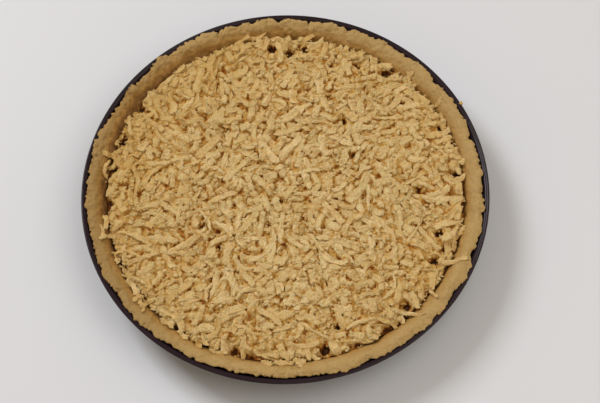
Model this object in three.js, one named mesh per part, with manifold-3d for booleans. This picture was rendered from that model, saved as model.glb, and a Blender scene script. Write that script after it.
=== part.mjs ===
import * as THREE from 'three';
import { mergeVertices } from 'three/addons/utils/BufferGeometryUtils.js';
import Module from 'manifold-3d';

// Shortcrust apple pie with a grated pastry top, not yet baked, standing in its own dark round tin.
// Millimetres, +Z up, origin at the middle of the tin's underside. Azimuths run from +X towards +Y.

// Tin: non-stick sheet steel, 28 cm across inside the rim and 25 cm across the base
const TIN_INNER_RIM_RADIUS = 140;
const TIN_INNER_BASE_RADIUS = 125.5;
const TIN_LIP_RADIUS = 144;
const TIN_HEIGHT = 35;
const TIN_SHEET = 0.8;
const TIN_HEM = 1.8;
const TIN_BEND = 3;
const TIN_FACETS = 64;

// The lip's rounded inner edge: how far out from the rim, and how far below the top, its points lie
const LIP_EDGE = [[1.6, 0], [0.45, 0.35]];
const LIP_EDGE_DROP = 1.7;

// Clearance between pieces that touch in the real pie
const TOUCH_GAP = 0.35;

// Pastry case: a rolled floor and a thicker, thumb-pressed border
const CRUST_FLOOR = 4.5;
const CRUST_FOOT_RADIUS = 121.7;
const CRUST_COLUMNS = 192;
const CRUST_RINGS = 9;
const CRUST_LOW_WALL_Z = 27;
const CRUST_HIGH_WALL_Z = 34.4;
const CRUST_CREST_Z = 35.7;
const CRUST_CREST_SWELL = 0.5;
const CRUST_CREST_RADIUS = 135.6;
const CRUST_SHOULDER_Z = 33.4;
const CRUST_SHOULDER_RADIUS = 131.2;
const CRUST_INNER_Z = 29.2;
const CRUST_INNER_RADIUS = 127.4;
const CRUST_WAVE = 0.6;
const CRUST_WAVE_TURNS = [19, 7];
const CRUST_ROUGHNESS = 0.35;

// The border stands higher on its far left side
const HIGH_SIDE_AZIMUTH = 126;
const HIGH_SIDE_REACH = 62;
const HIGH_SIDE_SPREAD = 1.3;
const HIGH_SIDE_LIFT = 2.1;

// The edge keeps a little inside the tin's wall but for its bulges, and rises between two breaks
const EDGE_INSET = 0.7;
const WALL_INSET = 0.3;
const THUMB_RISE = 1.1;

// Shares of a notch's depth that its place on the crest drops and draws in by
const NOTCH_DROP = 0.45;
const NOTCH_IN_CREST = 0.5;
const NOTCH_IN_WALL = 0.2;

// Shares of the border's rise at the top of its outer wall and at its shoulder
const WALL_RISE = 0.3;
const SHOULDER_RISE = 0.7;

// The breaks: azimuth in degrees, how far the notch runs in, and half its width
const EDGE_BREAKS = [
  [7.5, 0.6, 1.5], [15, 2.4, 2.4], [36.5, 0.8, 4], [49, 1.3, 1.6], [56, 0.6, 1.2],
  [69, 2.1, 1.3], [81.5, 2.5, 1.1], [91, 2.2, 1.8], [99, 0.7, 2], [110, 1.8, 2],
  [117.5, 2.2, 1.6], [127, 1.4, 2], [141, 3.1, 1.1], [149, 1.3, 2], [153.5, 1.1, 1.5],
  [171, 0.6, 3], [185, 0.6, 1.5], [189.5, 0.8, 1.6], [198, 0.8, 1.6], [203, 0.8, 1.4],
  [213, 1.5, 1.6], [219, 0.7, 1.5], [227, 0.8, 1.4], [236.5, 0.7, 1.6], [243, 0.6, 1],
  [253.5, 1, 4], [272.5, 1, 1.2], [281, 0.4, 1], [291, 0.6, 1], [307, 0.8, 1.6],
  [314.5, 0.7, 1.6], [324.5, 0.7, 1.6], [337, 1.4, 3.4], [350.5, 0.6, 1], [356.5, 1.8, 1.6],
];

// The bulges between them: azimuth and half width in degrees, and how far out each reaches
const EDGE_BULGES = [
  [28, 8, 0.7], [43, 4, 1.7], [55, 4, 1.2], [74, 4, 0.6], [94, 3, 0.2], [113, 3.5, 0.6],
  [120.5, 3, 1.1], [130.5, 3.5, 1.7], [143.5, 3, 1.4], [157, 3, 0.6], [162.5, 6, 1.6], [184, 7, 1.5],
  [201, 3, 2.3], [207, 4, 1.6], [223, 5, 1.9], [231, 4, 1.4], [245, 6, 1], [286, 8, 1.1],
  [301, 8, 1.7], [311.5, 4, 3], [319, 4, 2.2], [331, 6, 2.4], [347, 6, 1.4],
];
const BULGE_POWER = 2.5;

// Nearest and furthest that a break's two edges stand from it, in column pitches
const BREAK_COLUMNS = [0.45, 1.3];

// The apple filling, which fills the case up to the grated pastry
const FILLING_TOP_Z = 24.3;
const FILLING_COLUMNS = 48;

// Grated pastry: a bumpy mound, with its larger shreds fused on at true size
const MOUND_EDGE_Z = 29;
const MOUND_CROWN_Z = 31.8;
const MOUND_EDGE_RADIUS = 125.9;
const MOUND_FOOT_RADIUS = 125;
const MOUND_RINGS = 17;
const MOUND_BUMP = 0.9;
const MOUND_EDGE_BUMP = 0.4;
const MOUND_JITTER = 1.8;
const MOUND_EDGE_JITTER = 0.5;
const SHRED_COUNT = 112;
const SHRED_LENGTH = [13, 26];
const SHRED_STEP = 9;
const SHRED_WIDTH = [3.4, 4.6];
const SHRED_THICKNESS = [1.9, 2.5];
const SHRED_BEND = 3;
const SHRED_CURL = 1.6;
const SHRED_TAPER = 0.3;
const SHRED_SPREAD_RADIUS = 122;
const SHRED_LIFT = [0.3, 1];
const CRUMB_COUNT = 16;
const CRUMB_LIFT = 1;
const CRUMB_SIZE = [2.6, 3.8];
const SUNFLOWER_TURN = Math.PI * (3 - Math.sqrt(5));

const wasm = await Module();
wasm.setup();

const group = new THREE.Group();

// A repeatable draw between 0 and 1
function seededDraw(seed) {
  let state = seed;
  return () => {
    state = (state * 1664525 + 1013904223) % 4294967296;
    return state / 4294967296;
  };
}

function between([low, high], draw) {
  return low + (high - low) * draw;
}

function smoothStep(value) {
  const t = Math.min(1, Math.max(0, value));
  return t * t * (3 - 2 * t);
}

function degrees(angle) {
  return angle * Math.PI / 180;
}

// Smallest turn from one azimuth to another, in degrees, with its sign
function turnBetween(from, to) {
  return ((to - from + 540) % 360) - 180;
}

function addMesh(name, geometry, color, roughness, metalness) {
  const material = new THREE.MeshStandardMaterial({ color, roughness, metalness });
  const mesh = new THREE.Mesh(geometry, material);
  mesh.name = name;
  group.add(mesh);
}

// A closed body of rings, from the middle of its underside, round its side, to the middle of its top.
// place(ring, azimuth) gives the radius and height of a ring's point.
function ringBody(azimuths, ringCount, place, undersideZ, topZ) {
  const count = azimuths.length;
  const positions = [0, 0, undersideZ];
  for (let ring = 0; ring < ringCount; ring += 1) {
    for (const azimuth of azimuths) {
      const [radius, z] = place(ring, azimuth);
      positions.push(radius * Math.cos(degrees(azimuth)), radius * Math.sin(degrees(azimuth)), z);
    }
  }
  positions.push(0, 0, topZ);
  const top = ringCount * count + 1;
  const index = [];
  for (let column = 0; column < count; column += 1) {
    const next = (column + 1) % count;
    index.push(0, 1 + next, 1 + column);
    for (let ring = 0; ring + 1 < ringCount; ring += 1) {
      const low = 1 + ring * count;
      const high = low + count;
      index.push(low + column, low + next, high + next);
      index.push(low + column, high + next, high + column);
    }
    index.push(top, top - count + column, top - count + next);
  }
  const geometry = new THREE.BufferGeometry();
  geometry.setAttribute('position', new THREE.Float32BufferAttribute(positions, 3));
  geometry.setIndex(index);
  return geometry;
}

// Tin

const TIN_FLARE = Math.atan2(TIN_INNER_RIM_RADIUS - TIN_INNER_BASE_RADIUS, TIN_HEIGHT - TIN_SHEET);
const TIN_BEND_RADIUS = TIN_INNER_BASE_RADIUS - TIN_BEND * (1 - Math.sin(TIN_FLARE)) / Math.cos(TIN_FLARE);

// Radius of the wall's inner face at a height
function tinInnerRadius(z) {
  return TIN_INNER_BASE_RADIUS + (z - TIN_SHEET) * Math.tan(TIN_FLARE);
}

function arc(centreRadius, centreZ, radius, from, to, steps) {
  return Array.from({ length: steps + 1 }, (_, step) => {
    const angle = from + (to - from) * step / steps;
    return new THREE.Vector2(centreRadius + radius * Math.cos(angle), centreZ + radius * Math.sin(angle));
  });
}

// Flat base, a small bend, a flared wall, and a lip whose outer edge is hemmed round
function tinGeometry() {
  const quarter = Math.PI / 2;
  const hemZ = TIN_HEIGHT - TIN_HEM;
  const bendZ = TIN_SHEET + TIN_BEND;
  const wallTopZ = TIN_HEIGHT - LIP_EDGE_DROP;
  const outerWallTop = tinInnerRadius(hemZ) + TIN_SHEET / Math.cos(TIN_FLARE);
  const profile = [
    new THREE.Vector2(0, 0),
    ...arc(TIN_BEND_RADIUS, bendZ, TIN_BEND + TIN_SHEET, -quarter, -TIN_FLARE, 1),
    new THREE.Vector2(outerWallTop, hemZ),
    ...arc(TIN_LIP_RADIUS - TIN_HEM / 2, TIN_HEIGHT - TIN_HEM / 2, TIN_HEM / 2, -quarter, quarter, 4),
    ...LIP_EDGE.map(([out, drop]) => new THREE.Vector2(TIN_INNER_RIM_RADIUS + out, TIN_HEIGHT - drop)),
    new THREE.Vector2(tinInnerRadius(wallTopZ), wallTopZ),
    ...arc(TIN_BEND_RADIUS, bendZ, TIN_BEND, -TIN_FLARE, -quarter, 1),
    new THREE.Vector2(0, TIN_SHEET),
  ];
  const geometry = new THREE.LatheGeometry(profile, TIN_FACETS);
  geometry.rotateX(quarter);
  return geometry;
}

// Pastry case

// Share of the far left side's lift at an azimuth
function highSide(azimuth) {
  return smoothStep(HIGH_SIDE_SPREAD - Math.abs(turnBetween(HIGH_SIDE_AZIMUTH, azimuth)) / HIGH_SIDE_REACH);
}

// Where an azimuth lies among the thumb marks: its swell, how deep in a notch, and how far out it bulges
function thumbMark(azimuth) {
  let before = -360;
  let after = 360;
  let notch = 0;
  for (const [breakAzimuth, depth, halfWidth] of EDGE_BREAKS) {
    const turn = turnBetween(azimuth, breakAzimuth);
    if (turn <= 0) before = Math.max(before, turn);
    if (turn >= 0) after = Math.min(after, turn);
    const distance = degrees(turn) * TIN_INNER_RIM_RADIUS;
    notch += depth * Math.exp(-((distance / halfWidth) ** 2));
  }
  const bulges = EDGE_BULGES.map(([middle, halfWidth, reach]) => {
    const away = Math.abs(turnBetween(azimuth, middle)) / halfWidth;
    return reach * Math.exp(-(away ** BULGE_POWER));
  });
  const share = after > before ? -before / (after - before) : 0;
  return { swell: Math.sqrt(Math.sin(Math.PI * share)), notch, bulge: Math.max(...bulges) };
}

// Even azimuths, with the nearest ones moved on to each break and its two edges
function crustAzimuths() {
  const pitch = 360 / CRUST_COLUMNS;
  const azimuths = Array.from({ length: CRUST_COLUMNS }, (_, column) => column * pitch);
  for (const [breakAzimuth, , halfWidth] of EDGE_BREAKS) {
    const middle = Math.round(breakAzimuth / pitch);
    const turn = halfWidth / TIN_INNER_RIM_RADIUS * 180 / Math.PI;
    const side = Math.min(BREAK_COLUMNS[1] * pitch, Math.max(BREAK_COLUMNS[0] * pitch, turn));
    for (const step of [-1, 0, 1]) {
      azimuths[(middle + step + CRUST_COLUMNS) % CRUST_COLUMNS] = breakAzimuth + step * side;
    }
  }
  return azimuths;
}

// Outer face of the case, just clear of the faceted tin
function crustOuterRadius(z) {
  return tinInnerRadius(z) * Math.cos(Math.PI / TIN_FACETS) - TOUCH_GAP;
}

function crustGeometry() {
  const draw = seededDraw(11);
  const rough = () => (draw() - 0.5) * 2 * CRUST_ROUGHNESS;
  const undersideZ = TIN_SHEET + TOUCH_GAP;
  const bendZ = TIN_SHEET + TIN_BEND;
  const place = (ring, azimuth) => {
    const high = highSide(azimuth);
    const { swell, notch, bulge } = thumbMark(azimuth);
    const rise = HIGH_SIDE_LIFT * high + THUMB_RISE * (swell - 1) - NOTCH_DROP * notch;
    const outward = bulge * swell - notch - EDGE_INSET;
    const edgeRadius = crustOuterRadius(TIN_HEIGHT) + outward;
    const lipClearZ = TIN_HEIGHT + TOUCH_GAP + CRUST_ROUGHNESS + Math.min(0, outward);
    const crestRadius = CRUST_CREST_RADIUS - NOTCH_IN_CREST * notch;
    const crestZ = CRUST_CREST_Z + rise;
    const [quickTurns, slowTurns] = CRUST_WAVE_TURNS.map((turns) => Math.sin(degrees(azimuth) * turns));
    const wave = CRUST_WAVE * quickTurns * slowTurns;
    const rings = [
      [TIN_BEND_RADIUS, undersideZ],
      [crustOuterRadius(bendZ), bendZ],
      [crustOuterRadius(CRUST_LOW_WALL_Z) - NOTCH_IN_WALL * notch, CRUST_LOW_WALL_Z],
      [crustOuterRadius(CRUST_HIGH_WALL_Z) - WALL_INSET - notch, CRUST_HIGH_WALL_Z + WALL_RISE * rise],
      [edgeRadius + rough(), Math.max(crestZ, lipClearZ) + rough()],
      [crestRadius + rough(), crestZ + CRUST_CREST_SWELL + rough()],
      [CRUST_SHOULDER_RADIUS + wave + rough(), CRUST_SHOULDER_Z + SHOULDER_RISE * rise + rough()],
      [CRUST_INNER_RADIUS + wave, CRUST_INNER_Z],
      [CRUST_FOOT_RADIUS, undersideZ + CRUST_FLOOR],
    ];
    return rings[ring];
  };
  return ringBody(crustAzimuths(), CRUST_RINGS, place, undersideZ, undersideZ + CRUST_FLOOR);
}

// Smallest radius of the case's inner face at a height, in any of its waves
function crustInnerRadius(z) {
  const floorZ = TIN_SHEET + TOUCH_GAP + CRUST_FLOOR;
  const shoulderZ = CRUST_SHOULDER_Z + HIGH_SIDE_LIFT;
  if (z < CRUST_INNER_Z) {
    const share = (z - floorZ) / (CRUST_INNER_Z - floorZ);
    return CRUST_FOOT_RADIUS + share * (CRUST_INNER_RADIUS - CRUST_WAVE - CRUST_FOOT_RADIUS);
  }
  const share = (z - CRUST_INNER_Z) / (shoulderZ - CRUST_INNER_Z);
  const slope = CRUST_SHOULDER_RADIUS - CRUST_ROUGHNESS - CRUST_INNER_RADIUS;
  return CRUST_INNER_RADIUS - CRUST_WAVE + share * slope;
}

// The apple filling

function fillingGeometry() {
  const undersideZ = TIN_SHEET + CRUST_FLOOR + 2 * TOUCH_GAP;
  const azimuths = Array.from({ length: FILLING_COLUMNS }, (_, column) => column * 360 / FILLING_COLUMNS);
  const place = (ring) => {
    const z = ring === 0 ? undersideZ : FILLING_TOP_Z;
    return [crustInnerRadius(z) - TOUCH_GAP, z];
  };
  return ringBody(azimuths, 2, place, undersideZ, FILLING_TOP_Z);
}

// Grated pastry

function moundHeight(x, y) {
  const share = Math.min(1, Math.hypot(x, y) / MOUND_EDGE_RADIUS);
  return MOUND_EDGE_Z + (MOUND_CROWN_Z - MOUND_EDGE_Z) * (1 - share ** 3);
}

// Bumpy disc whose ring k has 6k points, with a short side wall and a flat underside
function moundGeometry() {
  const draw = seededDraw(37);
  const centred = () => (draw() - 0.5) * 2;
  const positions = [0, 0, MOUND_CROWN_Z];
  const first = [0];
  for (let ring = 1; ring <= MOUND_RINGS; ring += 1) {
    first.push(positions.length / 3);
    const edge = ring === MOUND_RINGS;
    for (let point = 0; point < 6 * ring; point += 1) {
      const azimuth = 2 * Math.PI * point / (6 * ring);
      const jitter = edge ? -MOUND_EDGE_JITTER * draw() : centred() * MOUND_JITTER;
      const radius = MOUND_EDGE_RADIUS * ring / MOUND_RINGS + jitter;
      const x = radius * Math.cos(azimuth) + (edge ? 0 : centred() * MOUND_JITTER);
      const y = radius * Math.sin(azimuth) + (edge ? 0 : centred() * MOUND_JITTER);
      positions.push(x, y, moundHeight(x, y) + centred() * (edge ? MOUND_EDGE_BUMP : MOUND_BUMP));
    }
  }
  const rimCount = 6 * MOUND_RINGS;
  const undersideZ = FILLING_TOP_Z + TOUCH_GAP;
  const foot = positions.length / 3;
  for (let point = 0; point < rimCount; point += 1) {
    const azimuth = 2 * Math.PI * point / rimCount;
    positions.push(MOUND_FOOT_RADIUS * Math.cos(azimuth), MOUND_FOOT_RADIUS * Math.sin(azimuth), undersideZ);
  }
  const underside = positions.length / 3;
  positions.push(0, 0, undersideZ);

  const index = [];
  for (let ring = 0; ring < MOUND_RINGS; ring += 1) {
    const inner = (sextant, step) => first[ring] + (ring === 0 ? 0 : (sextant * ring + step) % (6 * ring));
    const outer = (sextant, step) => first[ring + 1] + (sextant * (ring + 1) + step) % (6 * (ring + 1));
    for (let sextant = 0; sextant < 6; sextant += 1) {
      for (let step = 0; step <= ring; step += 1) {
        index.push(outer(sextant, step), outer(sextant, step + 1), inner(sextant, step));
        if (step < ring) index.push(inner(sextant, step), outer(sextant, step + 1), inner(sextant, step + 1));
      }
    }
  }
  for (let point = 0; point < rimCount; point += 1) {
    const next = (point + 1) % rimCount;
    const rim = first[MOUND_RINGS];
    index.push(foot + point, foot + next, rim + next);
    index.push(foot + point, rim + next, rim + point);
    index.push(underside, foot + next, foot + point);
  }
  const geometry = new THREE.BufferGeometry();
  geometry.setAttribute('position', new THREE.Float32BufferAttribute(positions, 3));
  geometry.setIndex(index);
  return geometry;
}

// One shred: a strip bent sideways and curled up at one end, with narrower ends
function shredGeometry(length, width, thickness, bend, curl) {
  const geometry = new THREE.BoxGeometry(length, width, thickness, Math.round(length / SHRED_STEP), 1, 1);
  const position = geometry.attributes.position;
  for (let i = 0; i < position.count; i += 1) {
    const along = position.getX(i) / (length / 2);
    const taper = 1 - SHRED_TAPER * along ** 4;
    position.setY(i, position.getY(i) * taper + bend * along ** 2);
    position.setZ(i, position.getZ(i) * taper + curl * (along + 1) ** 2 / 4);
  }
  return geometry;
}

// Lays a geometry on the mound, and slides it towards the middle until it is clear of the case
function layOnMound(geometry, azimuth, radius, heading, lift) {
  geometry.rotateZ(heading);
  let reach = radius;
  for (;;) {
    const x = reach * Math.cos(azimuth);
    const y = reach * Math.sin(azimuth);
    const laid = geometry.clone().translate(x, y, moundHeight(x, y) + lift);
    const position = laid.attributes.position;
    let clear = true;
    for (let i = 0; i < position.count; i += 1) {
      const limit = crustInnerRadius(position.getZ(i)) - TOUCH_GAP;
      clear = clear && Math.hypot(position.getX(i), position.getY(i)) < limit;
    }
    if (clear) return laid;
    reach -= 1;
  }
}

function toManifold(geometry) {
  const bare = geometry.clone();
  bare.deleteAttribute('normal');
  bare.deleteAttribute('uv');
  const merged = mergeVertices(bare, 1e-4);
  const vertProperties = new Float32Array(merged.attributes.position.array);
  const triVerts = new Uint32Array(merged.index.array);
  return new wasm.Manifold(new wasm.Mesh({ numProp: 3, vertProperties, triVerts }));
}

function fromManifold(solid) {
  const mesh = solid.getMesh();
  const geometry = new THREE.BufferGeometry();
  geometry.setAttribute('position', new THREE.BufferAttribute(new Float32Array(mesh.vertProperties), 3));
  geometry.setIndex(new THREE.BufferAttribute(new Uint32Array(mesh.triVerts), 1));
  return geometry;
}

// The body itself, without a hollow that the fused pieces close off or a loose scrap
function outerBody(solid) {
  return solid.decompose().reduce((largest, body) => (body.volume() > largest.volume() ? body : largest));
}

// The mound with its shreds and crumbs, spread evenly like the seeds of a sunflower
function toppingGeometry() {
  const draw = seededDraw(53);
  let solid = toManifold(moundGeometry());
  for (let k = 0; k < SHRED_COUNT; k += 1) {
    const length = between(SHRED_LENGTH, draw());
    const width = between(SHRED_WIDTH, draw());
    const thickness = between(SHRED_THICKNESS, draw());
    const bend = between([-SHRED_BEND, SHRED_BEND], draw());
    const shred = shredGeometry(length, width, thickness, bend, SHRED_CURL * draw());
    const radius = SHRED_SPREAD_RADIUS * Math.sqrt((k + 0.5) / SHRED_COUNT);
    const laid = layOnMound(shred, k * SUNFLOWER_TURN, radius, draw() * Math.PI, between(SHRED_LIFT, draw()));
    solid = solid.add(toManifold(laid));
  }
  for (let k = 0; k < CRUMB_COUNT; k += 1) {
    const crumb = new THREE.IcosahedronGeometry(between(CRUMB_SIZE, draw()) / 2, 0);
    const radius = SHRED_SPREAD_RADIUS * Math.sqrt((k + 0.25) / CRUMB_COUNT);
    const laid = layOnMound(crumb, (k + 0.5) * SUNFLOWER_TURN, radius, draw() * Math.PI, CRUMB_LIFT);
    solid = solid.add(toManifold(laid));
  }
  return fromManifold(outerBody(solid));
}

addMesh('tin', tinGeometry(), 0x1d181b, 0.35, 0.4);
addMesh('crust', crustGeometry(), 0xc8a468, 0.85, 0);
addMesh('apple_filling', fillingGeometry(), 0x8a5a2c, 0.45, 0);
addMesh('grated_topping', toppingGeometry(), 0xd8b478, 0.85, 0);

export default group;
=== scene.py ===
import math

import bpy
import numpy as np
from mathutils import Matrix, Vector


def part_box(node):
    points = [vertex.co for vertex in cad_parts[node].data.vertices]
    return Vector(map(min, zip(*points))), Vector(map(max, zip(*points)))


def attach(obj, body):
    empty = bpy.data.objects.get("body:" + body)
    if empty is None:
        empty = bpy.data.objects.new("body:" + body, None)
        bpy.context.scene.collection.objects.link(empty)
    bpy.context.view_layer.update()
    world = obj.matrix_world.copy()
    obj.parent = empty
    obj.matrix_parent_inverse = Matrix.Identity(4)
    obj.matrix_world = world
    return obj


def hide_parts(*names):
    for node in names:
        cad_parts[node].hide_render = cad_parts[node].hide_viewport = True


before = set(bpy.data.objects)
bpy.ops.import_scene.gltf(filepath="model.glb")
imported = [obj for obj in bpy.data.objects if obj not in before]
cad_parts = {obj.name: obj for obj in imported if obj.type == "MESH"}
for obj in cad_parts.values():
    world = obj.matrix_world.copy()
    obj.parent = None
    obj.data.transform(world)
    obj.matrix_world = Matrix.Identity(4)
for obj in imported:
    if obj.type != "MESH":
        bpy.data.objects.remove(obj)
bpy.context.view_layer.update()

mm = 0.001

# The tin is a round baking tin with a flared wall, pressed from thin steel sheet and coated with a dark
# non-stick finish. Its lip is turned out flat, and the edge of the lip is hemmed round.
lip_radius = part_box("tin")[1].x
tin_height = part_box("tin")[1].z
lip_width = 4 * mm
wall_run = 14.5 * mm
rim_radius = lip_radius - lip_width
base_radius = rim_radius - wall_run
sheet = 0.8 * mm
hem = 1.8 * mm
bead = 0.4 * mm
bend = 3 * mm
fillet_radius, fillet_inset = 1.7 * mm, 1.9 * mm
tin_facets = 360
flare = math.atan2(rim_radius - base_radius, tin_height - sheet)
bend_radius = base_radius - bend * (1 - math.sin(flare)) / math.cos(flare)


def wall_radius(z):
    """Inner face's radius: the base radius plus the height over the floor times the flare's tangent."""
    return base_radius + (z - sheet) * math.tan(flare)


def arc(centre, radius, start, end, steps):
    """Points of an arc, [step, (radius, height)]: its centre plus its radius times cosine and sine."""
    angle = np.linspace(start, end, steps)
    return np.stack([centre[0] + radius * np.cos(angle), centre[1] + radius * np.sin(angle)], 1)


def line(start, end, steps):
    """Points of a straight line, evenly spaced, without its two ends."""
    share = np.linspace(0, 1, steps + 2)[1:-1, None]
    return np.array(start) * (1 - share) + np.array(end) * share


def make_piece(name, points, faces, smooth=True):
    """A mesh object from an array of points and a list of arrays of faces with three or four corners."""
    corners = np.concatenate([f.ravel() for f in faces]).astype(np.int32)
    sizes = np.concatenate([np.full(len(f), f.shape[1], np.int32) for f in faces])
    mesh = bpy.data.meshes.new(name)
    mesh.vertices.add(len(points))
    mesh.vertices.foreach_set("co", np.asarray(points, np.float32).ravel())
    mesh.loops.add(len(corners))
    mesh.loops.foreach_set("vertex_index", corners)
    mesh.polygons.add(len(sizes))
    mesh.polygons.foreach_set("loop_start", np.concatenate([[0], np.cumsum(sizes)[:-1]]).astype(np.int32))
    mesh.polygons.foreach_set("loop_total", sizes)
    mesh.polygons.foreach_set("use_smooth", np.full(len(sizes), smooth))
    mesh.update(calc_edges=True)
    piece = bpy.data.objects.new(name, mesh)
    bpy.context.scene.collection.objects.link(piece)
    return piece


def ring_faces(rings, columns):
    """Quads between neighbouring rings, and fans to the poles before the first ring and after the last one.
    Point 0 is the first pole, then come the rings, each with its columns in order, then the other pole."""
    ring, column = np.meshgrid(np.arange(rings - 1), np.arange(columns), indexing="ij")
    low = 1 + ring * columns
    here, beside = low + column, low + (column + 1) % columns
    quads = np.stack([here, beside, beside + columns, here + columns], -1).reshape(-1, 4)
    column = np.arange(columns)
    following = (column + 1) % columns
    last = 1 + rings * columns
    first_fan = np.stack([0 * column, 1 + following, 1 + column], -1)
    last_fan = np.stack([last + 0 * column, last - columns + column, last - columns + following], -1)
    return [quads, first_fan, last_fan]


def turned(section, azimuth):
    """A section, [ring, (radius, height)] or [ring, column, (radius, height)], turned to each azimuth: radius
    times cosine, radius times sine, and height."""
    if section.ndim == 2:
        section = np.repeat(section[:, None], len(azimuth), 1)
    radius, height = section[..., 0], section[..., 1]
    return np.stack([radius * np.cos(azimuth), radius * np.sin(azimuth), height], -1)


def closed_on_axis(name, rings):
    """A closed piece through rings of points, [ring, column, xyz]. Its two poles stand on the axis, at the
    mean heights of the end rings."""
    poles = [[0, 0, rings[end, :, 2].mean()] for end in (0, -1)]
    points = np.concatenate([[poles[0]], rings.reshape(-1, 3), [poles[1]]])
    return make_piece(name, points, ring_faces(*rings.shape[:2]))


quarter = math.pi / 2
hem_centre = (lip_radius - hem / 2, tin_height - hem / 2)
outer_wall_top = (wall_radius(tin_height - hem) + sheet / math.cos(flare), tin_height - hem)
fillet_centre = (rim_radius + fillet_inset, tin_height - bead - fillet_radius)
lip_fillet = arc(fillet_centre, fillet_radius, quarter, math.pi - flare, 9)
outer_bend = arc((bend_radius, sheet + bend), bend + sheet, -quarter, -flare, 10)
inner_bend = arc((bend_radius, sheet + bend), bend, -flare, -quarter, 10)
hem_round = arc(hem_centre, hem / 2, -quarter, quarter + math.acos(1 - 2 * bead / hem), 17)
tin_section = np.concatenate([
    line((0, 0), outer_bend[0], 6),
    outer_bend,
    line(outer_bend[-1], outer_wall_top, 6),
    [outer_wall_top],
    hem_round,
    lip_fillet,
    line(lip_fillet[-1], inner_bend[0], 8),
    inner_bend,
    line(inner_bend[-1], (0, sheet), 6),
])
tin = closed_on_axis("tin_shell", turned(tin_section, np.arange(tin_facets) * 2 * math.pi / tin_facets))


def new_material(name):
    """A material with its node tree, its Principled shader and an object coordinate output."""
    material = bpy.data.materials.new(name)
    material.use_nodes = True
    tree = material.node_tree
    shader = tree.nodes["Principled BSDF"]
    place = tree.nodes.new("ShaderNodeTexCoord").outputs["Object"]
    return material, tree, shader, place


def noise(tree, place, size, detail=3.0, roughness=0.55):
    """Noise of features about size metres across."""
    node = tree.nodes.new("ShaderNodeTexNoise")
    node.inputs["Scale"].default_value = 1 / size
    node.inputs["Detail"].default_value = detail
    node.inputs["Roughness"].default_value = roughness
    tree.links.new(place, node.inputs["Vector"])
    return node.outputs["Fac"]


def remap(tree, value, low, high, to_low, to_high):
    """Maps low to high on to to_low to to_high, and holds it there beyond them."""
    node = tree.nodes.new("ShaderNodeMapRange")
    for socket, number in zip(("From Min", "From Max", "To Min", "To Max"), (low, high, to_low, to_high)):
        node.inputs[socket].default_value = number
    tree.links.new(value, node.inputs["Value"])
    return node.outputs["Result"]


def mix_colours(tree, share, first, second):
    """A colour between two, each a colour or another node's output."""
    node = tree.nodes.new("ShaderNodeMix")
    node.data_type = "RGBA"
    tree.links.new(share, node.inputs["Factor"])
    for socket, colour in ((node.inputs[6], first), (node.inputs[7], second)):
        if isinstance(colour, tuple):
            socket.default_value = (*colour, 1)
        else:
            tree.links.new(colour, socket)
    return node.outputs[2]


def bump(tree, shader, height, distance, strength=1.0):
    """Relief of that height in metres on a shader."""
    node = tree.nodes.new("ShaderNodeBump")
    node.inputs["Strength"].default_value = strength
    node.inputs["Distance"].default_value = distance
    tree.links.new(height, node.inputs["Height"])
    tree.links.new(node.outputs["Normal"], shader.inputs["Normal"])
    return node


coating, tree, shader, place = new_material("nonstick_coating")
shader.inputs["Metallic"].default_value = 0.0
shader.inputs["Specular IOR Level"].default_value = 0.15
smudge_size, grain_size, grain_height = 30 * mm, 0.7 * mm, 0.02 * mm
smudges = noise(tree, place, smudge_size, 4)
colour = mix_colours(tree, smudges, (0.013, 0.007, 0.010), (0.025, 0.014, 0.019))
tree.links.new(colour, shader.inputs["Base Color"])
tree.links.new(remap(tree, smudges, 0.3, 0.7, 0.16, 0.28), shader.inputs["Roughness"])
bump(tree, shader, noise(tree, place, grain_size, 2), grain_height, 0.4)
tin.data.materials.append(coating)
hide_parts("tin")
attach(tin, "root")

# The crust is the pastry case: raw shortcrust dough, rolled out and pressed into the tin by thumb. Its border
# is thicker than its floor, rises between the thumb marks and stands highest at the far left. It is notched
# and torn along its outer edge.
touch_gap = 0.35 * mm
crust_floor = 4.5 * mm
crust_columns = 1500
thumb_rise = 1.1 * mm
high_side_azimuth, high_side_reach = 126, 62
high_side_lift = 1.9 * mm
crust_wave = 0.6 * mm

# Heights and radii on the case's section, up its outer wall, over its crest and down its inner side
middle_wall_z, low_wall_z, high_wall_z, edge_z = 20 * mm, 29 * mm, 33.6 * mm, 35.3 * mm
high_wall_inset, edge_inset = 0.5 * mm, 0.7 * mm
far_inset, far_azimuth, far_reach = 0.5 * mm, 100, 30
crest_radius, crest_z = 136.2 * mm, 36.1 * mm
shoulder_radius, shoulder_z = 131.6 * mm, 33.6 * mm
inner_radius, inner_z = 127.6 * mm, 29.2 * mm
low_inner_radius, low_inner_z = 125.6 * mm, 22 * mm
floor_radius = 121.7 * mm

# The breaks of the edge: azimuth in degrees, then in millimetres how far the notch runs in and half its width
edge_breaks = np.array([
    [7.5, 0.6, 1.5], [15, 2.4, 2.4], [36.5, 0.8, 4], [49, 1.3, 1.6], [56, 0.6, 1.2],
    [69, 2.1, 1.3], [81.5, 2.5, 1.1], [91, 2.2, 1.8], [99, 0.7, 2], [110, 1.8, 2],
    [117.5, 2.2, 1.6], [127, 1.4, 2], [141, 3.1, 1.1], [149, 1.3, 2], [153.5, 1.1, 1.5],
    [171, 0.6, 3], [185, 0.6, 1.5], [189.5, 0.8, 1.6], [198, 0.8, 1.6], [203, 0.8, 1.4],
    [213, 1.5, 1.6], [219, 0.7, 1.5], [227, 0.8, 1.4], [236.5, 0.7, 1.6], [243, 0.6, 1],
    [253.5, 1, 4], [272.5, 1, 1.2], [281, 0.4, 1], [291, 0.6, 1], [307, 0.8, 1.6],
    [314.5, 0.7, 1.6], [324.5, 0.7, 1.6], [337, 1.4, 3.4], [350.5, 0.6, 1], [356.5, 1.8, 1.6],
])

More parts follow.
